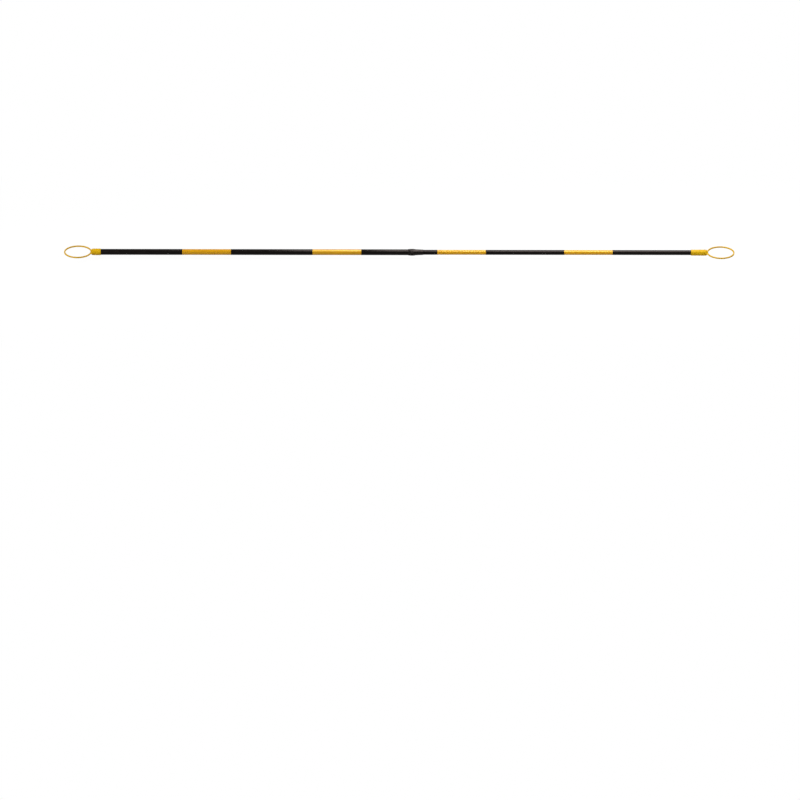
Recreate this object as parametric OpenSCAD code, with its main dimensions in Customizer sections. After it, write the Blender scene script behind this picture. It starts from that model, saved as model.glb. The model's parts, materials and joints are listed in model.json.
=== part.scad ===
// Telescopic cone bar: two striped tubes that slide one in the other, with a hoop at each end.
// The bar lies along X, with the outer tube on the -X side, and is drawn at its full length.
// Z is up. The origin is under the middle of the bar, level with its lowest point.

/* [Eyes] */
// Diameter of the hole in each eye
eye_bore_d = 88; // [70:1:120]
// Radial width of an eye's hoop
hoop_w = 4.2; // [3.4:0.1:7]
// Height of an eye's hoop
hoop_h = 4.6; // [3.4:0.1:7]
// Rounding of the hoop's four edges
hoop_round = 1; // [0.4:0.1:1.6]
// Solid root between the hoop and the floor of the socket
root_len = 3; // [2:0.5:8]
// Length of the outer eye's collar, from the edge of the hole to its mouth
outer_collar_len = 36; // [34:1:70]
// Wall of the outer eye's collar round the tube
outer_collar_wall = 1.4; // [0.8:0.1:3]
// Length of the inner eye's collar, from the edge of the hole to its mouth
inner_collar_len = 60; // [34:1:90]
// Wall of the inner eye's collar round the tube
inner_collar_wall = 2; // [0.8:0.1:3]
// Thickness of the two gussets between a hoop and its collar
gusset_t = 3; // [2:0.1:4]
// Radius of the curve along a gusset
gusset_r = 16; // [10:1:24]

/* [Grip rings on the collars] */
// Number of raised rings on each collar
ring_count = 3; // [1:1:3]
// Spacing of the rings
ring_pitch = 8; // [5:0.1:9]
// Width of a ring at its foot
ring_w = 3; // [1.6:0.1:4]
// Height of a ring above the collar
ring_h = 0.5; // [0.2:0.1:1]
// Slope of a ring's sides, measured along the bar
ring_slope = 0.5; // [0.2:0.1:0.6]
// Plain length between the root and the first ring
ring_inset = 5.5; // [5:0.5:7]

/* [Tubes] */
// Outside diameter of the outer tube
outer_od = 20; // [16:0.05:30]
// Wall of the outer tube
outer_wall = 0.8; // [0.6:0.1:1.6]
// Gap all round between the taped inner tube and the outer tube
tube_gap = 0.55; // [0.45:0.05:1.2]
// Wall of the inner tube
inner_wall = 1.1; // [0.8:0.1:1.6]

/* [Tape bands] */
// Thickness of the tape
band_t = 0.2; // [0.1:0.05:0.4]
// Length of the first two bands on the outer tube
outer_band_len = 285; // [120:1:400]
// Length of the band that ends at the nose collar
outer_last_band_len = 164; // [60:1:300]
// Bare tube between two bands on the outer tube
outer_gap_len = 171; // [60:1:300]
// Length of the band that starts inside the nose collar
inner_first_band_len = 73; // [50:1:200]
// Length of the other two bands on the inner tube
inner_band_len = 274; // [120:1:400]
// Bare tube between two bands on the inner tube
inner_gap_len = 170; // [60:1:300]
// Bare tube between the plug's flange and the first band
band_inset = 3; // [1:0.5:10]

/* [Nose collar] */
// Wall of the nose collar over the outer tube
nose_wall = 1.9; // [1.4:0.1:4]
// Length of the nose collar over the outer tube
nose_sleeve_len = 24; // [16:1:40]
// Length of the tapered lead at the back of the grip
lead_len = 9; // [4:0.5:11]
// Fall of the lead below the grip
lead_drop = 1; // [0.6:0.1:1.1]
// Length from the back of the nose collar to the end of its grip
grip_len = 17; // [12:1:30]
// Length of the curved shoulder after the grip
shoulder_len = 12; // [8:1:20]
// Length of the slim cone after the shoulder
cone_len = 24; // [14:1:40]
// Wall of the slim cone at the shoulder
waist_wall = 1.6; // [1.4:0.1:3]
// Wall of the slim cone at its mouth
mouth_wall = 0.6; // [0.5:0.1:1.3]
// Number of flutes round the grip
flute_count = 18; // [8:1:24]
// Radius of a flute
flute_r = 1.6; // [1:0.1:2.4]
// Depth of a flute
flute_depth = 0.45; // [0.2:0.05:0.5]

/* [Twist lock] */
// Length of the plug inside the inner tube
plug_len = 30; // [16:1:60]
// Thickness of the plug's flange
flange_t = 2; // [1:0.1:4]
// Length of the guide bush
bush_len = 40; // [20:1:80]
// Wall of the guide bush
bush_wall = 2.85; // [2:0.05:3.6]
// Depth of the relief round the middle of the guide bush
bush_relief = 0.5; // [0.2:0.1:1]
// Length of each bearing land at the ends of the guide bush
bush_land_len = 9; // [4:0.5:10]
// Offset of the eccentric journal from the bar's axis
eccentricity = 0.9; // [0.5:0.05:1.2]
// Step between the round journal and the far side of the eccentric one
journal_step = 0.5; // [0.3:0.1:0.8]
// Length of the lock cam
cam_len = 12; // [8:0.5:24]
// Width of the slit in the lock cam
cam_slit = 2.4; // [1:0.1:4]
// Thickness of the retainer
retainer_t = 2; // [1:0.1:3]
// Diameter of the retainer's screw
screw_d = 2.9; // [2:0.1:3.5]
// Length of the screw under its head
screw_len = 10; // [6:0.5:14]
// Diameter of the screw's head
screw_head_d = 5.6; // [4.4:0.1:7]
// Height of the screw's head
screw_head_h = 2; // [1.4:0.1:2.6]

/* [Clearances] */
// Gap left for cement, all round, where pieces are fixed together
cement_gap = 0.03; // [0.01:0.01:0.1]
// Running gap, all round, between a journal and its bore
run_gap = 0.05; // [0.02:0.01:0.1]
// Sliding gap, all round, between the guide bush and the outer tube
slide_gap = 0.1; // [0.05:0.01:0.2]
// Sliding gap, all round, between the taped inner tube and the nose collar
nose_gap = 0.15; // [0.1:0.01:0.3]
// Gap, all round, between the lock cam and the outer tube when unlocked
cam_gap = 0.4; // [0.3:0.05:0.6]
// Gap, all round, between the retainer's edge and the edge of the lock cam
retainer_inset = 0.3; // [0.1:0.1:1]
// End play of the guide bush and of the lock cam
end_play = 0.2; // [0.1:0.05:0.5]
// Gap between the guide bush and its stop with the bar drawn out
stop_gap = 0.5; // [0.2:0.1:1]

/* [Hidden] */
$fn = 96;

// Every cut runs past the faces that it opens by this much
overrun = 1;
// Small bevel on moulded edges
edge = 0.4;
// Bevel on the guide bush, small so that its end face catches on the nose collar
bush_edge = 0.15;
// Bevel on the leading end of the plug in its tube
plug_lead = 1.2;
// Depth and width of the cross in the screw's head
cross_depth = 1;
cross_w = 0.9;
cross_len = 3;
// Depth of the screw's pilot hole past the screw's tip
pilot_spare = 1;

// Shares of a hoop's width, out from the hole, at which its gussets and its collar's dome begin
gusset_root_share = 0.7;
dome_tip_share = 0.4;
// How far into the collar's wall a gusset's curve runs
gusset_tuck_share = 0.3;
// Angles along the dome of a collar, and steps along the nose collar's shoulder
dome_step = 15;
shoulder_steps = 8;
// Pan of the screw's head: height of its straight rim, and its flat top
pan_rim_share = 0.45;
pan_top_share = 0.6;

yellow = "#d99c10";
black = "#1b1917";
natural = "#e6e2d6";
grey = "#7d7f82";
steel = "#b9bcc0";

// Radii about the bar's axis
outer_r = outer_od / 2;
outer_bore_r = outer_r - outer_wall;
inner_r = outer_bore_r - tube_gap - band_t - cement_gap;
inner_bore_r = inner_r - inner_wall;
outer_band_r = outer_r + cement_gap + band_t;
inner_band_r = inner_r + cement_gap + band_t;
nose_bore_r = inner_band_r + nose_gap;
nose_r = outer_r + cement_gap + nose_wall;
waist_r = nose_bore_r + waist_wall;
mouth_r = nose_bore_r + mouth_wall;
bush_r = outer_bore_r - slide_gap;
bush_bore_r = bush_r - bush_wall;
journal_r = bush_bore_r - run_gap;
eccentric_r = journal_r - journal_step - eccentricity;
cam_r = outer_bore_r - cam_gap;
retainer_r = cam_r - retainer_inset;
outer_ring_r = outer_r + cement_gap + outer_collar_wall + ring_h;
axis_z = max(nose_r, outer_ring_r);

// Distances from the middle of an eye's hole
eye_r = eye_bore_d / 2;
hoop_out_r = eye_r + hoop_w;
socket_x = hoop_out_r + root_len;
outer_mouth_x = eye_r + outer_collar_len;
inner_mouth_x = eye_r + inner_collar_len;

// Lengths that follow from the stripes and the sockets
outer_pitch = outer_band_len + outer_gap_len;
inner_pitch = inner_band_len + inner_gap_len;
outer_tube_len = outer_mouth_x - socket_x + 2 * outer_pitch + outer_last_band_len + nose_sleeve_len;
inner_tube_len = band_inset + inner_first_band_len + 2 * inner_pitch + inner_mouth_x - socket_x;
nose_len = grip_len + shoulder_len + cone_len;
bush_journal_len = bush_len + end_play;
cam_journal_len = cam_len + end_play;
plug_seat = flange_t + end_play - stop_gap;
overall_len = 2 * (hoop_out_r + socket_x) + outer_tube_len + plug_seat + inner_tube_len;

// Places along the bar
outer_eye_x = hoop_out_r - overall_len / 2;
outer_tube_x = outer_eye_x + socket_x;
outer_stripe_x = outer_eye_x + outer_mouth_x;
nose_seat_x = outer_tube_x + outer_tube_len;
nose_x = nose_seat_x - nose_sleeve_len;
flange_x = nose_seat_x - stop_gap + end_play;
bush_x = flange_x - end_play - bush_len;
journal_end_x = flange_x - bush_journal_len - end_play;
cam_x = journal_end_x - end_play / 2 - cam_len;
eccentric_end_x = journal_end_x - cam_journal_len;
retainer_x = eccentric_end_x - retainer_t;
inner_tube_x = flange_x + flange_t;
inner_stripe_x = inner_tube_x + band_inset;
inner_eye_x = inner_tube_x + inner_tube_len + socket_x;

// Sets what is drawn up the Z axis along the bar, with its foot at x
module along_bar(x) {
    translate([x, 0, axis_z]) rotate([0, 90, 0]) children();
}

// Moves what is drawn about the bar's axis onto the eccentric journal's axis
module on_eccentric() {
    translate([-eccentricity, 0, 0]) children();
}

module sleeve(x, len, r_in, r_out) {
    along_bar(x) difference() {
        cylinder(h = len, r = r_out);
        translate([0, 0, -overrun]) cylinder(h = len + 2 * overrun, r = r_in);
    }
}

module rounded_rect(w, h, r) {
    square([w - 2 * r, h], center = true);
    square([w, h - 2 * r], center = true);
    for (sx = [-1, 1], sy = [-1, 1])
        translate([sx * (w / 2 - r), sy * (h / 2 - r)]) circle(r);
}

module hoop() {
    rotate_extrude()
        translate([eye_r + hoop_w / 2, 0]) rounded_rect(hoop_w, hoop_h, hoop_round);
}

// Half of a gusset seen from above: the corner between the hoop and the collar, hollowed by a circle
module gusset_outline(collar_r, wall) {
    root_r = eye_r + hoop_w * gusset_root_share;
    cy = collar_r - wall * gusset_tuck_share + gusset_r;
    cx = sqrt(pow(hoop_out_r + gusset_r, 2) - pow(cy, 2));
    turn = atan2(cy, cx);
    difference() {
        polygon([[root_r, 0], root_r * [cos(turn), sin(turn)], [cx, cy], [cx, 0]]);
        translate([cx, cy]) circle(gusset_r);
    }
}

// Half section of a collar without its socket: domed end, grip rings, bevelled mouth
function collar_section(collar_r, mouth_x) =
    let (dome_len = socket_x - eye_r - hoop_w * dome_tip_share)
    concat(
        [for (a = [0:dome_step:90]) [collar_r * sin(a), socket_x - dome_len * cos(a)]],
        [for (i = [0:ring_count - 1])
            let (x = socket_x + ring_inset + i * ring_pitch)
            each [
                [collar_r, x],
                [collar_r + ring_h, x + ring_slope],
                [collar_r + ring_h, x + ring_w - ring_slope],
                [collar_r, x + ring_w]
            ]],
        [[collar_r, mouth_x - edge], [collar_r - edge, mouth_x], [0, mouth_x]]
    );

// An eye about the middle of its hole, with its collar towards +X
module eye(tube_r, wall, mouth_x) {
    socket_r = tube_r + cement_gap;
    collar_r = socket_r + wall;
    hoop();
    difference() {
        union() {
            rotate([0, 90, 0]) rotate_extrude() polygon(collar_section(collar_r, mouth_x));
            for (side = [0, 1]) mirror([0, side, 0])
                linear_extrude(gusset_t, center = true) gusset_outline(collar_r, wall);
        }
        translate([socket_x, 0, 0]) rotate([0, 90, 0])
            cylinder(h = mouth_x - socket_x + overrun, r = socket_r);
    }
}

module outer_eye() {
    color(yellow) translate([outer_eye_x, 0, axis_z]) eye(outer_r, outer_collar_wall, outer_mouth_x);
}

module inner_eye() {
    color(yellow) translate([inner_eye_x, 0, axis_z]) rotate([0, 0, 180])
        eye(inner_r, inner_collar_wall, inner_mouth_x);
}

module outer_tube() {
    color(yellow) sleeve(outer_tube_x, outer_tube_len, outer_bore_r, outer_r);
}

module inner_tube() {
    color(yellow) sleeve(inner_tube_x, inner_tube_len, inner_bore_r, inner_r);
}

// Bands count from the outer eye
module outer_band(i) {
    len = i < 2 ? outer_band_len : outer_last_band_len;
    color(black) sleeve(outer_stripe_x + i * outer_pitch, len, outer_r + cement_gap, outer_band_r);
}

// Bands count from the nose collar
module inner_band(i) {
    len = i > 0 ? inner_band_len : inner_first_band_len;
    x = inner_stripe_x + (i > 0 ? inner_first_band_len + i * inner_pitch - inner_band_len : 0);
    color(black) sleeve(x, len, inner_r + cement_gap, inner_band_r);
}

// Half section of the nose collar without its bores: lead, grip, curved shoulder, slim cone
function nose_section() =
    concat(
        [[0, 0], [nose_r - lead_drop, 0], [nose_r, lead_len]],
        [for (i = [0:shoulder_steps])
            let (s = i / shoulder_steps)
            [waist_r + (nose_r - waist_r) * (1 + cos(180 * s)) / 2, grip_len + shoulder_len * s]],
        [[mouth_r, nose_len - edge], [mouth_r - edge, nose_len], [0, nose_len]]
    );

module nose_collar() {
    color(black) along_bar(nose_x) difference() {
        rotate_extrude() polygon(nose_section());
        translate([0, 0, -overrun]) cylinder(h = nose_sleeve_len + overrun, r = outer_r + cement_gap);
        cylinder(h = nose_len + overrun, r = nose_bore_r);
        // One flute faces down, so that the grip lies on the lands beside it
        for (i = [0:flute_count - 1])
            rotate([0, 0, i * 360 / flute_count])
                translate([nose_r - flute_depth + flute_r, 0, 0]) cylinder(h = nose_len, r = flute_r);
    }
}

// Plug, round journal and eccentric journal in one moulding
module lock_plug() {
    spigot_r = inner_bore_r - cement_gap;
    color(black) {
        along_bar(flange_x) rotate_extrude() polygon([
            [0, 0],
            [inner_r, 0],
            [inner_r, flange_t],
            [spigot_r, flange_t],
            [spigot_r, flange_t + plug_len - plug_lead],
            [spigot_r - plug_lead, flange_t + plug_len],
            [0, flange_t + plug_len]
        ]);
        along_bar(journal_end_x) cylinder(h = flange_x - journal_end_x, r = journal_r);
        along_bar(eccentric_end_x) on_eccentric() difference() {
            cylinder(h = cam_journal_len, r = eccentric_r);
            translate([0, 0, -overrun])
                cylinder(h = screw_len - retainer_t + pilot_spare + overrun, d = screw_d);
        }
    }
}

module guide_bush() {
    color(natural) along_bar(bush_x) difference() {
        rotate_extrude() polygon([
            [0, 0],
            [bush_r - bush_edge, 0],
            [bush_r, bush_edge],
            [bush_r, bush_land_len],
            [bush_r - bush_relief, bush_land_len + bush_relief],
            [bush_r - bush_relief, bush_len - bush_land_len - bush_relief],
            [bush_r, bush_len - bush_land_len],
            [bush_r, bush_len - bush_edge],
            [bush_r - bush_edge, bush_len],
            [0, bush_len]
        ]);
        translate([0, 0, -overrun]) cylinder(h = bush_len + 2 * overrun, r = bush_bore_r);
    }
}

// Ring with its bore off centre, slit through its thick side so that it can spread
module lock_cam() {
    color(grey) along_bar(cam_x) difference() {
        cylinder(h = cam_len, r = cam_r);
        translate([0, 0, -overrun]) {
            on_eccentric() cylinder(h = cam_len + 2 * overrun, r = eccentric_r + run_gap);
            translate([0, -cam_slit / 2, 0]) cube([cam_r + overrun, cam_slit, cam_len + 2 * overrun]);
        }
    }
}

module cam_retainer() {
    color(steel) along_bar(retainer_x) difference() {
        cylinder(h = retainer_t, r = retainer_r);
        translate([0, 0, -overrun]) on_eccentric()
            cylinder(h = retainer_t + 2 * overrun, r = screw_d / 2 + run_gap);
    }
}

module retainer_screw() {
    head_r = screw_head_d / 2;
    color(steel) along_bar(retainer_x - screw_head_h) on_eccentric() difference() {
        rotate_extrude() polygon([
            [0, 0],
            [head_r * pan_top_share, 0],
            [head_r, screw_head_h * (1 - pan_rim_share)],
            [head_r, screw_head_h],
            [screw_d / 2 - cement_gap, screw_head_h],
            [screw_d / 2 - cement_gap, screw_head_h + screw_len],
            [0, screw_head_h + screw_len]
        ]);
        for (turn = [0, 90]) rotate([0, 0, turn])
            translate([-cross_len / 2, -cross_w / 2, -overrun]) cube([cross_len, cross_w, cross_depth + overrun]);
    }
}

outer_eye();
outer_tube();
outer_band(0);  // outer_band_1
outer_band(1);  // outer_band_2
outer_band(2);  // outer_band_3
nose_collar();
inner_tube();
inner_band(0);  // inner_band_1
inner_band(1);  // inner_band_2
inner_band(2);  // inner_band_3
inner_eye();
lock_plug();
guide_bush();
lock_cam();
cam_retainer();
retainer_screw();
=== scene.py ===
"""Looks of a telescopic cone bar: two striped tubes, a nose collar between them and a hoop at each end.

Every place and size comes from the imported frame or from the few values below. Lengths are in metres.
The bar lies along X, so a lathed piece is a section of (x, r) points, with r measured from the bar's axis.
"""
import json
import math

import bmesh
import bpy
from mathutils import Matrix, Vector


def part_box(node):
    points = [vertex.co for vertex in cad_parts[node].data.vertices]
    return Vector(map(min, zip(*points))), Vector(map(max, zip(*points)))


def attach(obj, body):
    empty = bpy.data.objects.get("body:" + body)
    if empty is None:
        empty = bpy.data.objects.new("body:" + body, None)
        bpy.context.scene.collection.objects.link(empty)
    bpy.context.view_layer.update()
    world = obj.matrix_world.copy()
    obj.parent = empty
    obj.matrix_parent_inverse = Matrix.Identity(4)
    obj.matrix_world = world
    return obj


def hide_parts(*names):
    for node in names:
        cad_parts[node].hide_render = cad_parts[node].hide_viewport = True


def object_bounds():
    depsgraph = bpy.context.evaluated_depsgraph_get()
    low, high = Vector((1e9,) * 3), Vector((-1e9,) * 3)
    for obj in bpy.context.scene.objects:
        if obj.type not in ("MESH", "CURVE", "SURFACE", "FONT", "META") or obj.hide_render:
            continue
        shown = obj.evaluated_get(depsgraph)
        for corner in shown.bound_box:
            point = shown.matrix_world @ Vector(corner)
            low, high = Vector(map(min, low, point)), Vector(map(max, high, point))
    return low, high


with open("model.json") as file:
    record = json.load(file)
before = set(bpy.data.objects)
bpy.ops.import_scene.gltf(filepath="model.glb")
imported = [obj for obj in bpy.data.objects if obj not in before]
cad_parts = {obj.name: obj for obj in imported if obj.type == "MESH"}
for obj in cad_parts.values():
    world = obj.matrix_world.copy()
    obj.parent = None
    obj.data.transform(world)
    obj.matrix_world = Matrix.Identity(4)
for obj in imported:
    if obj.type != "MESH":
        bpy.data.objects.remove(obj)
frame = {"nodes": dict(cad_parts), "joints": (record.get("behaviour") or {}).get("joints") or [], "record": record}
cad_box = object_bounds()

MM = 0.001
MOUNTS = {mount["name"]: mount for mount in frame["record"]["mounts"]}
JOINTS = {joint["name"]: joint for joint in frame["joints"]}
AXIS_Z = JOINTS["twist"]["pos_m"][2]

# Faces that meet at more than this angle keep a sharp edge
SHARP = math.radians(40)

# Moulded eyes
EYE_R = MOUNTS["outer_hoop"]["dims"]["r_mm"] * MM
HOOP_H = 4.6 * MM
HOOP_ROUND = 1.0 * MM
HOOP_SIDES = 256
ROOT_LEN = 3.0 * MM
ROOT_RELIEF = 0.2 * MM
DOME_TIP_SHARE = 0.4
DOME_CORE = 0.02 * MM
DOME_STEPS = 12
COLLAR_SIDES = 96
GUSSET_T = 3.0 * MM
GUSSET_R = 16.0 * MM
GUSSET_ROOT_SHARE = 0.7
GUSSET_TUCK_SHARE = 0.3
GUSSET_FAN_STEPS = 6
RING_COUNT = 3
RING_PITCH = 8.0 * MM
RING_W = 3.0 * MM
RING_H = 0.5 * MM
RING_SLOPE = 0.5 * MM
RING_ROUND = 0.3 * MM
RING_INSET = 5.5 * MM

# The seam that the mould leaves on an eye
SEAM_H = 0.1 * MM
SEAM_W = 0.6 * MM
SEAM_ROOT = 3 * SEAM_H
SEAM_FOOT_SHARE = 0.7
SEAM_STEPS = 220

# How an eye's hoop, dome and gussets are melted together
EYE_VOXEL = 0.45 * MM
FILLET_FROM_SHARE = 0.62
FILLET_FADE = 6.0 * MM
RING_FADE = 1.0 * MM
FILLET_EASE = 0.5
FILLET_PASSES = 8
SLIVER = 0.005 * MM

# Tubes
OUTER_WALL = 0.8 * MM
INNER_WALL = 1.1 * MM
TUBE_SIDES = 72
TUBE_EASE = 0.25 * MM
TUBE_BURR = 0.1 * MM
FIT_GAP = 0.03 * MM

# Tape bands: the lap of each lies underneath, at its own angle round the tube, with a few more edges there
LAP_W = 7.0 * MM
LAP_H = 0.08 * MM
LAP_RISE = 2.0 * MM
LAP_STEP = 0.2 * MM
LAP_SHARES = (0, 0.1, 0.2, 0.3, 0.99, 1.0)
OUTER_LAPS_DEG = (-79, -88, -97)
INNER_LAPS_DEG = (-71, -82, -93)
TAPE_LIP = 0.07 * MM
TAPE_SKEW = 0.12 * MM
TAPE_WAVER = 0.06 * MM

# Nose collar
NOSE_GAP = 0.15 * MM
EDGE = 0.4 * MM
LEAD_LEN = 9.0 * MM
LEAD_DROP = 1.0 * MM
LEAD_ROUND = 12.0 * MM
GRIP_LEN = 17.0 * MM
GRIP_STEPS = 6
SHOULDER_LEN = 12.0 * MM
SHOULDER_STEPS = 16
CONE_STEPS = 8
WAIST_WALL = 1.6 * MM
MOUTH_WALL = 0.6 * MM
SLEEVE_LEN = 24.0 * MM
FLUTE_COUNT = 18
FLUTE_SIDES = 20
FLUTE_R = 1.6 * MM
FLUTE_DEPTH = 0.45 * MM
FLUTE_ROUND = 0.15 * MM

# The photograph's frame: 800 pixels square, 3.5 mm to a pixel along the bar
IMAGE_PX = 800
BAR_MIDDLE_PX = (399.1, 252.25)
PIXEL = 3.5 * MM
LENS = 250.0
SENSOR = 36.0
VIEW_END = 200.0
VIEW_ELEVATION = math.radians(25.5)
VIEW_ROLL = math.radians(0.075)

# The floor: points (r, rise) of its rim, how bright it is in the sheen of the pieces, its grey to soft light
# and to the eye, how far from the bar its soft shadow reaches, and how much of its white is its own there
FLOOR_RIM = [(50.0, 0.0), (55.0, 0.6), (58.0, 2.2), (60.0, 5.0), (61.0, 9.0)]
FLOOR_SIDES = 96
FLOOR_IN_SHEEN = 0.3
FLOOR_GREY_TO_LIGHT = 0.6
FLOOR_GREY_TO_EYE = 0.95
SHADOW_FROM = 0.05
SHADOW_TO = 0.7
WHITE_UNDER_BAR = 0.95

# Lamps: place, aim, size and power in watts
OVERHEAD = (0.75, 0.1, 1.9), (0.75, 0, 0), (1.9, 2.0), 75
FILL = (-2.0, -0.5, 0.75), (-1.1, 0, 0), (0.8, 0.8), 15
ROOM_LIGHT = 0.17

# What wear and dust add to a surface's roughness
WEAR_ROUGHNESS = 0.2
DUST_ROUGHNESS = 0.35


def ends(node):
    """Where a node starts and stops along the bar, and its radius about the bar's axis."""
    low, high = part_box(node)
    return low.x, high.x, AXIS_Z - low.z


def smooth_step(t):
    """0 below 0, 1 above 1 and smooth between."""
    t = min(max(t, 0.0), 1.0)
    return t * t * (3 - 2 * t)


def soft_least(first, second, blend):
    """The lesser of two lengths, with a soft change from one to the other."""
    near = max(blend - abs(first - second), 0) / blend
    return min(first, second) - near * near * blend / 4


def in_order(angles):
    """Angles sorted within one turn, each once."""
    return sorted(set(round(a % (2 * math.pi), 5) for a in angles))


# Mesh tools


def finish_mesh(name, verts, faces):
    """A mesh object with outward normals, smooth except across real corners."""
    mesh = bpy.data.meshes.new(name)
    mesh.from_pydata(verts, [], faces)
    bm = bmesh.new()
    bm.from_mesh(mesh)
    bmesh.ops.recalc_face_normals(bm, faces=bm.faces)
    bm.to_mesh(mesh)
    bm.free()
    mesh.shade_smooth()
    mesh.set_sharp_from_angle(angle=SHARP)
    piece = bpy.data.objects.new(name, mesh)
    bpy.context.scene.collection.objects.link(piece)
    return piece


def around(count):
    """Angles spaced evenly round one turn."""
    return [2 * math.pi * i / count for i in range(count)]


def grid_faces(rows, columns):
    """Quads of a grid that closes on itself both ways."""
    return [
        (i * columns + j, i * columns + (j + 1) % columns,
         (i + 1) % rows * columns + (j + 1) % columns, (i + 1) % rows * columns + j)
        for i in range(rows) for j in range(columns)
    ]


def lathe(name, section, angles, warp=None):
    """Turns a closed section of (x, r) points about the bar's axis. warp(angle, x, r) may move a point."""
    verts = []
    for a in angles:
        for x, r in section:
            if warp:
                x, r = warp(a, x, r)
            verts.append((x, r * math.cos(a), AXIS_Z + r * math.sin(a)))
    return finish_mesh(name, verts, grid_faces(len(angles), len(section)))


def soften(corners, steps=4):
    """Rounds the corners (x, r, radius) of a closed outline with arcs."""
    outline = []
    for i, (x, r, radius) in enumerate(corners):
        here = Vector((x, r))
        if radius == 0:
            outline.append((x, r))
            continue
        back = (Vector(corners[i - 1][:2]) - here).normalized()
        ahead = (Vector(corners[(i + 1) % len(corners)][:2]) - here).normalized()
        half = back.angle(ahead) / 2
        centre = here + (back + ahead).normalized() * radius / math.sin(half)
        start = (here + back * radius / math.tan(half) - centre).normalized()
        stop = (here + ahead * radius / math.tan(half) - centre).normalized()
        for k in range(steps + 1):
            point = centre + start.slerp(stop, k / steps) * radius
            outline.append((point.x, point.y))
    return outline


def place(piece, body, node, material):
    """Sets a new piece in the assembly, in the stead of its CAD node."""
    piece.data.materials.clear()
    piece.data.materials.append(material)
    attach(piece, body)
    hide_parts(node)
    return piece


# Shader tools


def add(tree, kind, inputs=None, **settings):
    """A shader node with its settings, and its inputs set to values or linked from sockets."""
    made = tree.nodes.new(kind)
    for key, value in settings.items():
        setattr(made, key, value)
    for key, value in (inputs or {}).items():
        if isinstance(value, bpy.types.NodeSocket):
            tree.links.new(value, made.inputs[key])
        else:
            made.inputs[key].default_value = value
    return made


def maths(tree, operation, *values, clamp=False):
    """The result of a sum, product or the like of values or sockets."""
    made = add(tree, "ShaderNodeMath", dict(enumerate(values)), operation=operation, use_clamp=clamp)
    return made.outputs[0]


def mix_colour(tree, share, first, second):
    """A colour some share of the way from the first to the second."""
    made = add(tree, "ShaderNodeMix", data_type="RGBA")
    for socket, value in zip((made.inputs[0], made.inputs[6], made.inputs[7]), (share, first, second)):
        if isinstance(value, bpy.types.NodeSocket):
            tree.links.new(value, socket)
        else:
            socket.default_value = value
    return made.outputs[2]


def ramp(tree, value, low, high):
    """0 below low, 1 above high and smooth between."""
    made = add(tree, "ShaderNodeMapRange", {"Value": value, "From Min": low, "From Max": high},
               interpolation_type="SMOOTHSTEP")
    return made.outputs["Result"]


def new_group(name, inputs, outputs):
    """An effect with named inputs, given as {name: value}, and named outputs."""
    tree = bpy.data.node_groups.new(name, "ShaderNodeTree")
    for key, value in inputs.items():
        socket = tree.interface.new_socket(key, in_out="INPUT", socket_type="NodeSocketFloat")
        socket.default_value = value
    for key in outputs:
        tree.interface.new_socket(key, in_out="OUTPUT", socket_type="NodeSocketFloat")
    given = tree.nodes.new("NodeGroupInput").outputs
    result = tree.nodes.new("NodeGroupOutput").inputs
    return tree, given, result


def stretched_noise(tree, along, across, detail, offset=0.0):
    """Noise in the piece's own space, with its own scale along the bar and across it."""
    where = add(tree, "ShaderNodeTexCoord").outputs["Object"]
    scale = add(tree, "ShaderNodeCombineXYZ", {"X": along, "Y": across, "Z": across}).outputs[0]
    spread = add(tree, "ShaderNodeVectorMath", {0: where, 1: scale}, operation="MULTIPLY").outputs[0]
    shift = (offset, offset, offset)
    moved = add(tree, "ShaderNodeVectorMath", {0: spread, 1: shift}, operation="ADD").outputs[0]
    return add(tree, "ShaderNodeTexNoise", {"Vector": moved, "Scale": 1.0, "Detail": detail}).outputs["Fac"]


def rub_lines():
    """Fine lines rubbed along the bar, in patches."""
    tree, given, result = new_group("Rub lines", {"Along": 14.0, "Across": 1500.0, "Amount": 0.4}, ["Mask"])
    lines = stretched_noise(tree, given["Along"], given["Across"], detail=3.0)
    patches = stretched_noise(tree, along=9.0, across=60.0, detail=2.0, offset=3.7)
    fine = ramp(tree, lines, low=0.56, high=0.72)
    rubbed = maths(tree, "MULTIPLY", fine, ramp(tree, patches, low=0.45, high=0.65))
    tree.links.new(maths(tree, "MULTIPLY", rubbed, given["Amount"]), result["Mask"])
    return tree


def mottling():
    """Slow, soft change of tone over a piece."""
    tree, given, result = new_group("Mottling", {"Size": 26.0, "Amount": 1.0}, ["Mask"])
    clouds = stretched_noise(tree, given["Size"], given["Size"], detail=4.0, offset=1.3)
    tone = ramp(tree, clouds, low=0.3, high=0.7)
    tree.links.new(maths(tree, "MULTIPLY", tone, given["Amount"]), result["Mask"])
    return tree


def settled_dust():
    """Specks and a faint film on what faces up."""
    inputs = {"Specks": 2400.0, "Film": 0.35, "Amount": 0.3}
    tree, given, result = new_group("Settled dust", inputs, ["Mask"])
    normal = add(tree, "ShaderNodeNewGeometry").outputs["Normal"]
    facing = add(tree, "ShaderNodeSeparateXYZ", {0: normal}).outputs["Z"]
    grains = stretched_noise(tree, given["Specks"], given["Specks"], detail=2.0, offset=5.1)
    specks = ramp(tree, grains, low=0.64, high=0.74)
    haze = stretched_noise(tree, along=40.0, across=160.0, detail=5.0, offset=8.2)
    film = maths(tree, "MULTIPLY", ramp(tree, haze, low=0.42, high=0.78), given["Film"])
    both = maths(tree, "ADD", specks, film, clamp=True)
    upper = maths(tree, "MULTIPLY", both, ramp(tree, facing, low=-0.2, high=0.9))
    tree.links.new(maths(tree, "MULTIPLY", upper, given["Amount"]), result["Mask"])
    return tree


def surface_grain():
    """Fine relief of a moulded or rolled surface."""
    tree, given, result = new_group("Surface grain", {"Along": 2600.0, "Across": 2600.0}, ["Height"])
    height = stretched_noise(tree, given["Along"], given["Across"], detail=2.0, offset=2.9)
    tree.links.new(height, result["Height"])
    return tree


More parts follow.
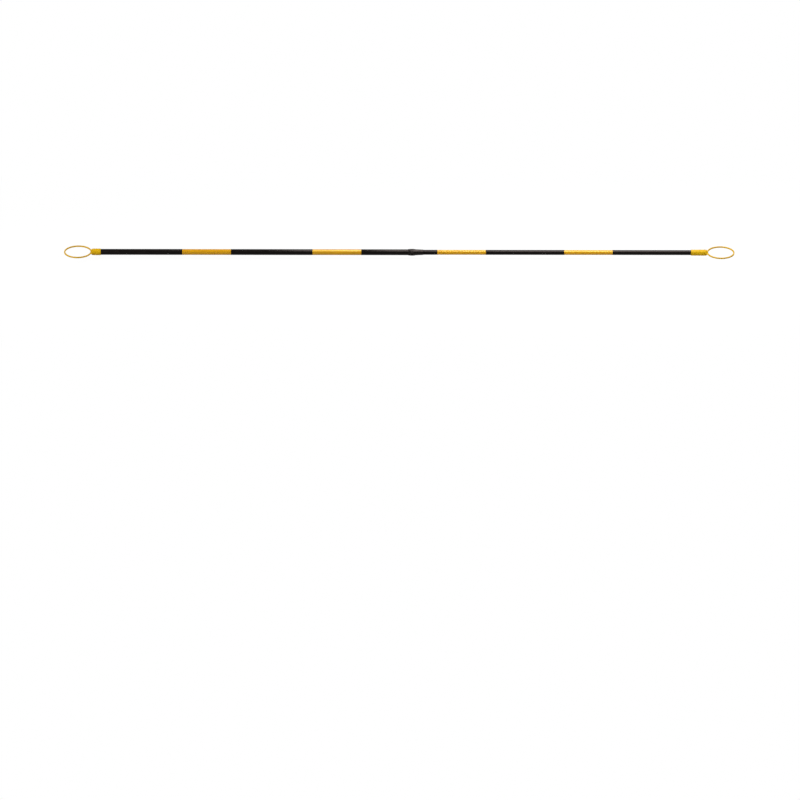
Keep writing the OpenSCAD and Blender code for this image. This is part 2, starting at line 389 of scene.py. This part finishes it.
def edge_wear():
    """Edges that hands and the ground have polished pale."""
    tree, given, result = new_group("Edge wear", {"Amount": 0.6}, ["Mask"])
    point = add(tree, "ShaderNodeNewGeometry").outputs["Pointiness"]
    edges = ramp(tree, point, low=0.515, high=0.6)
    patches = stretched_noise(tree, along=300.0, across=300.0, detail=4.0, offset=6.6)
    worn = maths(tree, "MULTIPLY", edges, ramp(tree, patches, low=0.35, high=0.65))
    tree.links.new(maths(tree, "MULTIPLY", worn, given["Amount"]), result["Mask"])
    return tree


EFFECTS = {make.__name__: make() for make in (rub_lines, mottling, settled_dust, surface_grain, edge_wear)}


def effect(tree, name, output, **values):
    """One output of a shared effect, with some of its inputs set."""
    made = add(tree, "ShaderNodeGroup", node_tree=EFFECTS[name])
    for key, value in values.items():
        made.inputs[key].default_value = value
    return made.outputs[output]


def new_material(name, specular, metallic=0.0, sheen_tint=(1, 1, 1, 1)):
    """A material, its tree and its Principled shader."""
    material = bpy.data.materials.new(name)
    material.use_nodes = True
    tree = material.node_tree
    shader = tree.nodes["Principled BSDF"]
    shader.inputs["Specular IOR Level"].default_value = specular
    shader.inputs["Metallic"].default_value = metallic
    shader.inputs["Specular Tint"].default_value = sheen_tint
    return material, tree, shader


def relief(tree, shader, along, across, strength, depth):
    """Fine grain in a surface, with its own scale along the bar and across it."""
    height = effect(tree, "surface_grain", "Height", Along=along, Across=across)
    bump = add(tree, "ShaderNodeBump", {"Height": height, "Strength": strength, "Distance": depth})
    tree.links.new(bump.outputs["Normal"], shader.inputs["Normal"])


def tone_and_wear(tree, shader, base, deep, pale, roughness, wear, dust=None):
    """Mottled base colour, pale where worn, with dust on top, and rougher where worn or dusty."""
    colour = mix_colour(tree, effect(tree, "mottling", "Mask"), base, deep)
    colour = mix_colour(tree, wear, colour, pale)
    rough = maths(tree, "MULTIPLY_ADD", wear, WEAR_ROUGHNESS, roughness)
    if dust:
        colour = mix_colour(tree, dust, colour, DUST)
        rough = maths(tree, "MULTIPLY_ADD", dust, DUST_ROUGHNESS, rough)
    tree.links.new(colour, shader.inputs["Base Color"])
    tree.links.new(rough, shader.inputs["Roughness"])


def linear(red, green, blue):
    """A screen colour, 0 to 255, as the linear colour that shaders take."""
    def one(value):
        value /= 255
        return value / 12.92 if value <= 0.04045 else ((value + 0.055) / 1.055) ** 2.4
    return one(red), one(green), one(blue), 1.0


DUST = linear(186, 178, 164)
WARM_SHEEN = (1.0, 0.84, 0.78, 1.0)
GOLDEN_SHEEN = (0.9, 1.0, 0.4, 1.0)


def tube_yellow():
    """Extruded tube: fine draw lines along it and rubbed patches."""
    material, tree, shader = new_material("tube_yellow", specular=1.0, sheen_tint=GOLDEN_SHEEN)
    wear = effect(tree, "rub_lines", "Mask", Amount=0.3)
    dust = effect(tree, "settled_dust", "Mask", Amount=0.04)
    tone_and_wear(tree, shader, base=linear(208, 149, 2), deep=linear(203, 143, 2), pale=linear(228, 178, 48),
                  roughness=0.25, wear=wear, dust=dust)
    relief(tree, shader, along=25.0, across=1600.0, strength=0.05, depth=0.03 * MM)
    return material


def moulded_yellow():
    """Moulded eyes: fine even grain, edges rubbed pale."""
    material, tree, shader = new_material("moulded_yellow", specular=0.22, sheen_tint=GOLDEN_SHEEN)
    wear = effect(tree, "edge_wear", "Mask", Amount=0.4)
    dust = effect(tree, "settled_dust", "Mask", Amount=0.06)
    tone_and_wear(tree, shader, base=linear(203, 160, 9), deep=linear(198, 153, 7), pale=linear(230, 192, 80),
                  roughness=0.36, wear=wear, dust=dust)
    relief(tree, shader, along=1800.0, across=1800.0, strength=0.15, depth=0.04 * MM)
    return material


def black_tape():
    """Satin vinyl film, with small pulls round the tube."""
    material, tree, shader = new_material("black_tape", specular=0.21, sheen_tint=WARM_SHEEN)
    wear = effect(tree, "rub_lines", "Mask", Amount=0.15)
    dust = effect(tree, "settled_dust", "Mask", Amount=0.035)
    tone_and_wear(tree, shader, base=linear(8, 6, 5), deep=linear(12, 9, 8), pale=linear(54, 50, 47),
                  roughness=0.29, wear=wear, dust=dust)
    relief(tree, shader, along=45.0, across=60.0, strength=0.15, depth=0.08 * MM)
    return material


def moulded_black():
    """Nose collar: fine matt grain, crests of the flutes rubbed grey."""
    material, tree, shader = new_material("moulded_black", specular=0.29, sheen_tint=WARM_SHEEN)
    wear = effect(tree, "edge_wear", "Mask", Amount=0.5)
    dust = effect(tree, "settled_dust", "Mask", Amount=0.06)
    tone_and_wear(tree, shader, base=linear(12, 10, 9), deep=linear(17, 14, 13), pale=linear(84, 78, 76),
                  roughness=0.32, wear=wear, dust=dust)
    relief(tree, shader, along=2400.0, across=2400.0, strength=0.25, depth=0.05 * MM)
    return material


def lock_plastic(name, base, deep, roughness):
    """Plain moulded plastic of the lock inside the tube, with rub marks from sliding."""
    material, tree, shader = new_material(name, specular=0.5)
    wear = effect(tree, "rub_lines", "Mask", Amount=0.5)
    tone_and_wear(tree, shader, base, deep, pale=linear(150, 148, 142), roughness=roughness, wear=wear)
    relief(tree, shader, along=1800.0, across=1800.0, strength=0.15, depth=0.04 * MM)
    return material


def plated_steel():
    """Bright zinc plate on the retainer and its screw."""
    material, tree, shader = new_material("plated_steel", specular=0.5, metallic=1.0)
    wear = effect(tree, "edge_wear", "Mask", Amount=0.4)
    tone_and_wear(tree, shader, base=linear(196, 198, 202), deep=linear(176, 180, 188),
                  pale=linear(150, 146, 140), roughness=0.3, wear=wear)
    relief(tree, shader, along=4000.0, across=300.0, strength=0.2, depth=0.02 * MM)
    return material


# Pieces


def tube(name, wall, body, material):
    """A drawn tube with eased ends."""
    x0, x1, r = ends(name)
    bore_r = r - wall
    corners = [(x0, r, TUBE_EASE), (x1, r, TUBE_EASE), (x1, bore_r, TUBE_BURR), (x0, bore_r, TUBE_BURR)]
    section = soften(corners)
    return place(lathe(name + "_drawn", section, around(TUBE_SIDES)), body, name, material)


def tape_band(name, tube_name, body, lap_at, material):
    """A film wrap with a lap along it, whose ends aren't quite square to the tube."""
    x0, x1, r = ends(name)
    inside = ends(tube_name)[2] + FIT_GAP
    lap, rise, step = LAP_W / r, LAP_RISE / r, LAP_STEP / r
    middle = (x0 + x1) / 2

    def wrapped(a, x, radius):
        turn = (a - lap_at) % (2 * math.pi)
        if radius > (r + inside) / 2:
            radius += LAP_H * (smooth_step(turn / rise) - smooth_step((turn - lap) / step))
        skew = abs(TAPE_SKEW * math.sin(a + 1.0) + TAPE_WAVER * math.sin(3 * a))
        return (x - skew if x > middle else x + skew), radius

    near = [lap_at + lap * share for share in LAP_SHARES] + [lap_at + lap + step]
    section = soften([(x0, r, TAPE_LIP), (x1, r, TAPE_LIP), (x1, inside, 0), (x0, inside, 0)], steps=3)
    piece = lathe(name + "_wrap", section, in_order(around(TUBE_SIDES) + near), wrapped)
    return place(piece, body, name, material)


def nose_outline():
    """Half section of the nose collar: lead, grip, curved shoulder, slim cone and the two bores."""
    x0, x1, nose_r = ends("nose_collar")
    sleeve_r = ends("outer_tube")[2] + FIT_GAP
    bore_r = ends("inner_band_1")[2] + NOSE_GAP
    waist_r, mouth_r = bore_r + WAIST_WALL, bore_r + MOUTH_WALL
    seat = x0 + SLEEVE_LEN
    back_r = nose_r - LEAD_DROP
    shoulder_x = x0 + GRIP_LEN
    cone_x = shoulder_x + SHOULDER_LEN

    lead = [(x0, sleeve_r, 0), (x0, back_r, EDGE)]
    lead += [(x0 + LEAD_LEN, nose_r, LEAD_ROUND), (shoulder_x, nose_r, 0)]
    outer = soften(lead)[1:]
    grip_start = outer[-2][0]
    grip = [(grip_start + (shoulder_x - grip_start) * i / GRIP_STEPS, nose_r) for i in range(1, GRIP_STEPS)]
    shoulder = []
    for i in range(1, SHOULDER_STEPS + 1):
        x = shoulder_x + SHOULDER_LEN * i / SHOULDER_STEPS
        share = (1 + math.cos(math.pi * i / SHOULDER_STEPS)) / 2
        shoulder.append((x, waist_r + (nose_r - waist_r) * share))
    cone = []
    for i in range(1, CONE_STEPS):
        x = cone_x + (x1 - cone_x) * i / CONE_STEPS
        cone.append((x, waist_r + (mouth_r - waist_r) * i / CONE_STEPS))
    mouth = soften([cone[-1] + (0,), (x1, mouth_r, EDGE), (x1, bore_r, EDGE / 2), (seat, bore_r, 0)])[1:]
    return outer[:-1] + grip + [outer[-1]] + shoulder + cone + mouth + [(seat, sleeve_r), (x0, sleeve_r)]


def nose_collar(material):
    """Fluted grip that necks down to a slim cone round the inner tube."""
    nose_r = ends("nose_collar")[2]
    sleeve_r = ends("outer_tube")[2] + FIT_GAP
    pitch = 2 * math.pi / FLUTE_COUNT
    centre = nose_r - FLUTE_DEPTH + FLUTE_R

    def fluted(a, x, r):
        off = a % pitch - pitch / 2
        across = centre * math.sin(off)
        if r < sleeve_r + EDGE or abs(across) >= FLUTE_R:
            return x, r
        return x, soft_least(r, centre * math.cos(off) - math.sqrt(FLUTE_R ** 2 - across ** 2), FLUTE_ROUND)

    piece = lathe("nose_collar_moulded", nose_outline(), around(FLUTE_COUNT * FLUTE_SIDES), fluted)
    return place(piece, "outer", "nose_collar", material)


class EyeSizes:
    """Sizes of one moulded eye. Lengths run from the middle of its hole towards its collar's mouth."""

    def __init__(self, node, mount, tube_name):
        low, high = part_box(node)
        self.centre_x = MOUNTS[mount]["pos_m"][0]
        self.side = 1 if high.x - self.centre_x > self.centre_x - low.x else -1
        self.out_r = high.y
        self.hoop_w = self.out_r - EYE_R
        self.tube_r = ends(tube_name)[2] + FIT_GAP
        self.collar_r = AXIS_Z - low.z - RING_H
        self.socket_x = self.out_r + ROOT_LEN
        self.ring_x = self.socket_x + RING_INSET
        self.mouth_x = abs((high.x if self.side > 0 else low.x) - self.centre_x)
        self.gusset_y = self.collar_r + GUSSET_R - GUSSET_TUCK_SHARE * (self.collar_r - self.tube_r)
        self.gusset_x = math.sqrt((self.out_r + GUSSET_R) ** 2 - self.gusset_y ** 2)
        self.gusset_turn = math.atan2(self.gusset_y, self.gusset_x)

    def at(self, x):
        """Where a length along the eye lies along the bar."""
        return self.centre_x + self.side * x

    def section(self, points):
        """A section of the eye, set in its place along the bar."""
        return [(self.at(x), r) for x, r in points]

    def gusset_curve(self, steps):
        """Points (x, y, outward x, outward y) along the hollow of a gusset, from the hoop to the collar."""
        curve = []
        for i in range(steps + 1):
            turn = math.pi + self.gusset_turn + (math.pi / 2 - self.gusset_turn) * i / steps
            across, along = math.cos(turn), math.sin(turn)
            x, y = self.gusset_x + GUSSET_R * across, self.gusset_y + GUSSET_R * along
            curve.append((x, y, -across, -along))
        return curve


def hoop_solid(size):
    """The eye's hoop alone."""
    half_w, half_h = size.hoop_w / 2, HOOP_H / 2
    box = [(-half_w, -half_h), (half_w, -half_h), (half_w, half_h), (-half_w, half_h)]
    section = soften([(EYE_R + half_w + x, z, HOOP_ROUND) for x, z in box], steps=6)
    turns = around(HOOP_SIDES)
    verts = [(size.at(r * math.cos(a)), r * math.sin(a), AXIS_Z + z) for a in turns for r, z in section]
    return finish_mesh("hoop_solid", verts, grid_faces(len(turns), len(section)))


def root_solid(size):
    """The domed end of a collar with the floor of its socket, up to the middle of its first grip ring."""
    tip = EYE_R + DOME_TIP_SHARE * size.hoop_w
    stop = size.ring_x + RING_W / 2
    dome = []
    for i in range(1, DOME_STEPS + 1):
        a = math.pi / 2 * i / DOME_STEPS
        dome.append((size.socket_x - (size.socket_x - tip) * math.cos(a), size.collar_r * math.sin(a)))
    bore_r = size.tube_r + ROOT_RELIEF
    section = [(tip, DOME_CORE)] + dome + [(stop, size.collar_r), (stop, bore_r)]
    section += [(size.socket_x, bore_r), (size.socket_x, DOME_CORE)]
    return lathe("root_solid", size.section(section), around(COLLAR_SIDES))


def gusset_solid(size):
    """Both gussets as one flat plate with hollow sides."""
    root_r = EYE_R + GUSSET_ROOT_SHARE * size.hoop_w
    fan = [size.gusset_turn * i / GUSSET_FAN_STEPS for i in range(GUSSET_FAN_STEPS + 1)]
    upper = [(root_r * math.cos(a), root_r * math.sin(a)) for a in fan]
    upper += [(x, y) for x, y, _, _ in size.gusset_curve(steps=14)]
    outline = upper + [(x, -y) for x, y in upper[:0:-1]]
    count = len(outline)
    verts = [(size.at(x), y, AXIS_Z + z) for z in (-GUSSET_T / 2, GUSSET_T / 2) for x, y in outline]
    faces = [tuple(range(count)), tuple(range(count, 2 * count))]
    faces += [(i, (i + 1) % count, count + (i + 1) % count, count + i) for i in range(count)]
    return finish_mesh("gusset_solid", verts, faces)


def parting_seam(size):
    """The fine seam that a mould leaves round the outside of the hoop and along both gussets."""
    along_gusset = size.gusset_curve(steps=12)
    path = along_gusset[::-1]
    sweep = 2 * math.pi - 2 * size.gusset_turn
    for i in range(1, SEAM_STEPS):
        a = size.gusset_turn + sweep * i / SEAM_STEPS
        path.append((size.out_r * math.cos(a), size.out_r * math.sin(a), math.cos(a), math.sin(a)))
    path += [(x, -y, nx, -ny) for x, y, nx, ny in along_gusset]
    half, foot = SEAM_W / 2, SEAM_FOOT_SHARE * SEAM_W / 2
    section = [(-SEAM_ROOT, -half), (0, -foot), (SEAM_H, 0), (0, foot), (-SEAM_ROOT, half)]
    verts = []
    for x, y, nx, ny in path:
        verts += [(size.at(x + nx * out), y + ny * out, AXIS_Z + z) for out, z in section]
    count, last = len(section), (len(path) - 1) * len(section)
    faces = grid_faces(len(path), count)[:-count]
    faces += [tuple(range(count)), tuple(range(last, last + count))]
    return finish_mesh("parting_seam", verts, faces)


def ringed_collar(size):
    """The collar from its first grip ring to its mouth, with the mould's seam along both sides."""
    start = size.ring_x - EDGE
    corners = [(start, size.tube_r, 0), (start, size.collar_r - EDGE, 0)]
    for i in range(RING_COUNT):
        x = size.ring_x + i * RING_PITCH
        crest = size.collar_r + RING_H
        if i > 0:
            corners.append((x, size.collar_r, RING_ROUND))
        corners += [(x + RING_SLOPE, crest, RING_ROUND), (x + RING_W - RING_SLOPE, crest, RING_ROUND)]
        corners += [(x + RING_W, size.collar_r, RING_ROUND)]
    corners += [(size.mouth_x, size.collar_r, EDGE), (size.mouth_x, size.tube_r, EDGE / 3)]
    middle_r = (size.collar_r + size.tube_r) / 2

    def seamed(a, x, r):
        off = abs((a + math.pi / 2) % math.pi - math.pi / 2) * r
        return x, r + (SEAM_H * smooth_step(1 - 2 * off / SEAM_W) if r > middle_r else 0)

    near = [share * SEAM_W / size.collar_r for share in (-0.5, -0.25, 0.25, 0.5)]
    angles = around(COLLAR_SIDES) + [side + step for side in (0, math.pi) for step in near]
    return lathe("ringed_collar", size.section(soften(corners, steps=3)), in_order(angles), seamed)


def joined(name, solids):
    """One object that holds the meshes of several."""
    bm = bmesh.new()
    for solid in solids:
        bm.from_mesh(solid.data)
        bpy.data.objects.remove(solid)
    mesh = bpy.data.meshes.new(name)
    bm.to_mesh(mesh)
    bm.free()
    piece = bpy.data.objects.new(name, mesh)
    bpy.context.scene.collection.objects.link(piece)
    return piece


def applied(piece):
    """Puts a piece's modifiers into its mesh."""
    bpy.context.view_layer.update()
    graph = bpy.context.evaluated_depsgraph_get()
    mesh = bpy.data.meshes.new_from_object(piece.evaluated_get(graph))
    piece.modifiers.clear()
    piece.data = mesh
    return piece


def cast_root(size):
    """Hoop, dome and gussets melted into one, with soft fillets where they meet."""
    plain = joined("plain_root", [hoop_solid(size), root_solid(size), gusset_solid(size)])
    cast = bpy.data.objects.new("cast_root", plain.data.copy())
    bpy.context.scene.collection.objects.link(cast)
    melt = cast.modifiers.new("melt", "REMESH")
    melt.mode = "VOXEL"
    melt.voxel_size = EYE_VOXEL
    applied(cast)

    fillet_from = size.gusset_x * FILLET_FROM_SHARE
    fillets = cast.vertex_groups.new(name="fillets")
    for vertex in cast.data.vertices:
        x = (vertex.co.x - size.centre_x) * size.side
        share = smooth_step((x - fillet_from) / FILLET_FADE) * smooth_step((size.ring_x - x) / RING_FADE)
        fillets.add([vertex.index], share, "REPLACE")
    ease = cast.modifiers.new("ease", "SMOOTH")
    ease.factor = FILLET_EASE
    ease.iterations = FILLET_PASSES
    ease.vertex_group = "fillets"
    seat = cast.modifiers.new("seat", "SHRINKWRAP")
    seat.target = plain
    seat.vertex_group = "fillets"
    seat.invert_vertex_group = True
    applied(cast)
    bpy.data.objects.remove(plain)
    return cast


def welded(piece, solids):
    """Unites a closed mesh with others into one closed mesh, without slivers."""
    for solid in solids:
        weld = piece.modifiers.new("weld", "BOOLEAN")
        weld.operation = "UNION"
        weld.solver = "MANIFOLD"
        weld.object = solid
        applied(piece)
        bpy.data.objects.remove(solid)
    bm = bmesh.new()
    bm.from_mesh(piece.data)
    many_sided = [face for face in bm.faces if len(face.verts) > 4]
    bmesh.ops.triangulate(bm, faces=many_sided)
    bmesh.ops.remove_doubles(bm, verts=bm.verts, dist=SLIVER)
    bmesh.ops.dissolve_degenerate(bm, edges=bm.edges, dist=SLIVER)
    idle_corners = [vert for vert in bm.verts if len(vert.link_faces) == 2]
    bmesh.ops.dissolve_verts(bm, verts=idle_corners)
    bm.to_mesh(piece.data)
    bm.free()
    return piece


def eye(node, mount, tube_name, body, material):
    """A moulded eye: the cast root, the ringed collar and the mould's seam."""
    size = EyeSizes(node, mount, tube_name)
    piece = welded(cast_root(size), [ringed_collar(size), parting_seam(size)])
    piece.name = node + "_moulded"
    piece.data.shade_smooth()
    piece.data.set_sharp_from_angle(angle=SHARP)
    return place(piece, body, node, material)


def far_from_bar(tree):
    """How much of the floor's white is its own: most of it under the bar, all of it further off."""
    where = add(tree, "ShaderNodeTexCoord").outputs["Object"]
    spot = add(tree, "ShaderNodeSeparateXYZ", {0: where}).outputs
    past_end = maths(tree, "SUBTRACT", maths(tree, "ABSOLUTE", spot["X"]), cad_box[1].x)
    past_end = maths(tree, "MAXIMUM", past_end, 0.0)
    apart = add(tree, "ShaderNodeCombineXYZ", {"X": past_end, "Y": spot["Y"]}).outputs[0]
    apart = add(tree, "ShaderNodeVectorMath", {0: apart}, operation="LENGTH").outputs["Value"]
    fade = {"Value": apart, "From Min": SHADOW_FROM, "From Max": SHADOW_TO, "To Min": WHITE_UNDER_BAR}
    return add(tree, "ShaderNodeMapRange", fade, interpolation_type="SMOOTHSTEP").outputs["Result"]


def floor_level():
    """Just low enough that the hoop clears the floor when a twist of the bar tilts it."""
    tilt = math.radians(JOINTS["twist"]["range_deg"][1])
    hoop_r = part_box("inner_eye")[1].y
    return AXIS_Z - hoop_r * math.sin(tilt) - HOOP_H * math.cos(tilt)


def round_floor():
    """A wide round floor that turns up at its rim into a low backdrop."""
    turns = around(FLOOR_SIDES)
    level = floor_level()
    verts = [(r * math.cos(a), r * math.sin(a), level + rise) for r, rise in FLOOR_RIM for a in turns]
    faces = [tuple(range(FLOOR_SIDES))] + grid_faces(len(FLOOR_RIM), FLOOR_SIDES)[:-FLOOR_SIDES]
    return finish_mesh("floor", verts, faces)


def studio_floor():
    """The floor is white to the camera, dim in reflections, and keeps a soft shadow."""
    floor = round_floor()
    material = bpy.data.materials.new("floor_white")
    material.use_nodes = True
    tree = material.node_tree
    tree.nodes.clear()
    ray = add(tree, "ShaderNodeLightPath").outputs
    seen = maths(tree, "MAXIMUM", ray["Is Camera Ray"], ray["Is Glossy Ray"])
    seen = maths(tree, "MAXIMUM", seen, ray["Is Transmission Ray"])
    greys = {"Value": seen, "To Min": FLOOR_GREY_TO_LIGHT, "To Max": FLOOR_GREY_TO_EYE}
    tone = add(tree, "ShaderNodeMapRange", greys).outputs["Result"]
    matt = add(tree, "ShaderNodeBsdfDiffuse", {"Color": tone}).outputs[0]
    strength = maths(tree, "MULTIPLY_ADD", ray["Is Glossy Ray"], FLOOR_IN_SHEEN - 1, 1.0)
    white = add(tree, "ShaderNodeEmission", {"Color": (1, 1, 1, 1), "Strength": strength}).outputs[0]
    share = maths(tree, "MULTIPLY", seen, far_from_bar(tree))
    mixed = add(tree, "ShaderNodeMixShader", {0: share, 1: matt, 2: white}).outputs[0]
    add(tree, "ShaderNodeOutputMaterial", {"Surface": mixed})
    floor.data.materials.append(material)


def soft_light(name, at, towards, size, power):
    """A soft rectangular lamp."""
    lamp = bpy.data.lights.new(name, "AREA")
    lamp.shape = "RECTANGLE"
    lamp.size, lamp.size_y = size
    lamp.energy = power
    lit = bpy.data.objects.new(name, lamp)
    bpy.context.scene.collection.objects.link(lit)
    lit.location = at
    lit.rotation_euler = (Vector(towards) - Vector(at)).to_track_quat("-Z", "Y").to_euler()


def studio_light():
    """A white room, a wide lamp over the slim half of the bar and a small one by its other end."""
    world = bpy.data.worlds.new("studio")
    bpy.context.scene.world = world
    world.use_nodes = True
    room = world.node_tree.nodes["Background"].inputs
    room["Color"].default_value = (1, 1, 1, 1)
    room["Strength"].default_value = ROOM_LIGHT
    soft_light("overhead", *OVERHEAD)
    soft_light("fill", *FILL)


def photo_camera():
    """Camera at the photograph's angle: the bar's middle falls on its pixel, at its scale."""
    focal_px = LENS / SENSOR * IMAGE_PX
    above = math.atan((IMAGE_PX / 2 - BAR_MIDDLE_PX[1]) / focal_px)
    distance = focal_px * PIXEL / math.cos(above)
    shift_x = (IMAGE_PX / 2 - BAR_MIDDLE_PX[0]) * PIXEL
    camera = bpy.data.cameras.new("camera")
    camera.lens = LENS
    camera.sensor_width = SENSOR
    camera.clip_end = VIEW_END
    held = bpy.data.objects.new("camera", camera)
    bpy.context.scene.collection.objects.link(held)
    held.location = (
        shift_x,
        -distance * math.cos(VIEW_ELEVATION),
        AXIS_Z + distance * math.sin(VIEW_ELEVATION),
    )
    tilt = Matrix.Rotation(math.pi / 2 - VIEW_ELEVATION - above, 3, "X")
    held.rotation_euler = (tilt @ Matrix.Rotation(VIEW_ROLL, 3, "Z")).to_euler()
    bpy.context.scene.camera = held


def build():
    """Makes every piece that shows, and gives the lock inside its materials."""
    yellow, moulded, tape, nose = tube_yellow(), moulded_yellow(), black_tape(), moulded_black()
    tube("outer_tube", OUTER_WALL, "outer", yellow)
    tube("inner_tube", INNER_WALL, "inner", yellow)
    for i, (outer_lap, inner_lap) in enumerate(zip(OUTER_LAPS_DEG, INNER_LAPS_DEG), 1):
        tape_band(f"outer_band_{i}", "outer_tube", "outer", math.radians(outer_lap), tape)
        tape_band(f"inner_band_{i}", "inner_tube", "inner", math.radians(inner_lap), tape)
    nose_collar(nose)
    eye("outer_eye", "outer_hoop", "outer_tube", "outer", moulded)
    eye("inner_eye", "inner_hoop", "inner_tube", "inner", moulded)

    lock = {
        "lock_plug": nose,
        "guide_bush": lock_plastic("natural_plastic", linear(226, 221, 208), linear(214, 208, 192), 0.4),
        "lock_cam": lock_plastic("grey_plastic", linear(122, 124, 128), linear(112, 114, 118), 0.45),
        "cam_retainer": plated_steel(),
    }
    lock["retainer_screw"] = lock["cam_retainer"]
    for node, material in lock.items():
        frame["nodes"][node].material_slots[0].material = material


build()
studio_floor()
studio_light()
photo_camera()
bpy.context.scene.view_settings.view_transform = "Standard"
